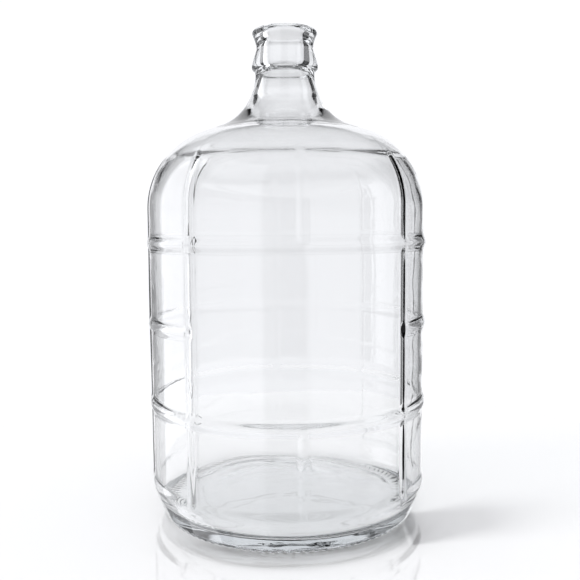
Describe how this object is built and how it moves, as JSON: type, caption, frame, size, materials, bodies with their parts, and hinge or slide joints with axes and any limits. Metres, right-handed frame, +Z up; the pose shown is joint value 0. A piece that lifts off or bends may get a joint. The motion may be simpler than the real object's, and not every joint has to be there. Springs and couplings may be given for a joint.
{
  "type": "glass carboy",
  "caption": "Tall round glass carboy with a raised rib grid, domed shoulder and short necked mouth for a tapered bung; holds liquid for fermenting or storage.",
  "frame": {"origin": "centre of the base's bearing ring, on the surface the bottle stands on", "axes": "+Z up along the bottle's axis; -Y is the front, where the ring-free label panel is, with its middle turned 6 degrees from -Y towards +X"},
  "size_m": [0.244, 0.244, 0.42],
  "materials": {
    "clear_glass": "clear, glossy, faint cool tint"
  },
  "bodies": {
    "root": {"glass_vessel": "clear_glass"}
  },
  "joints": []
}
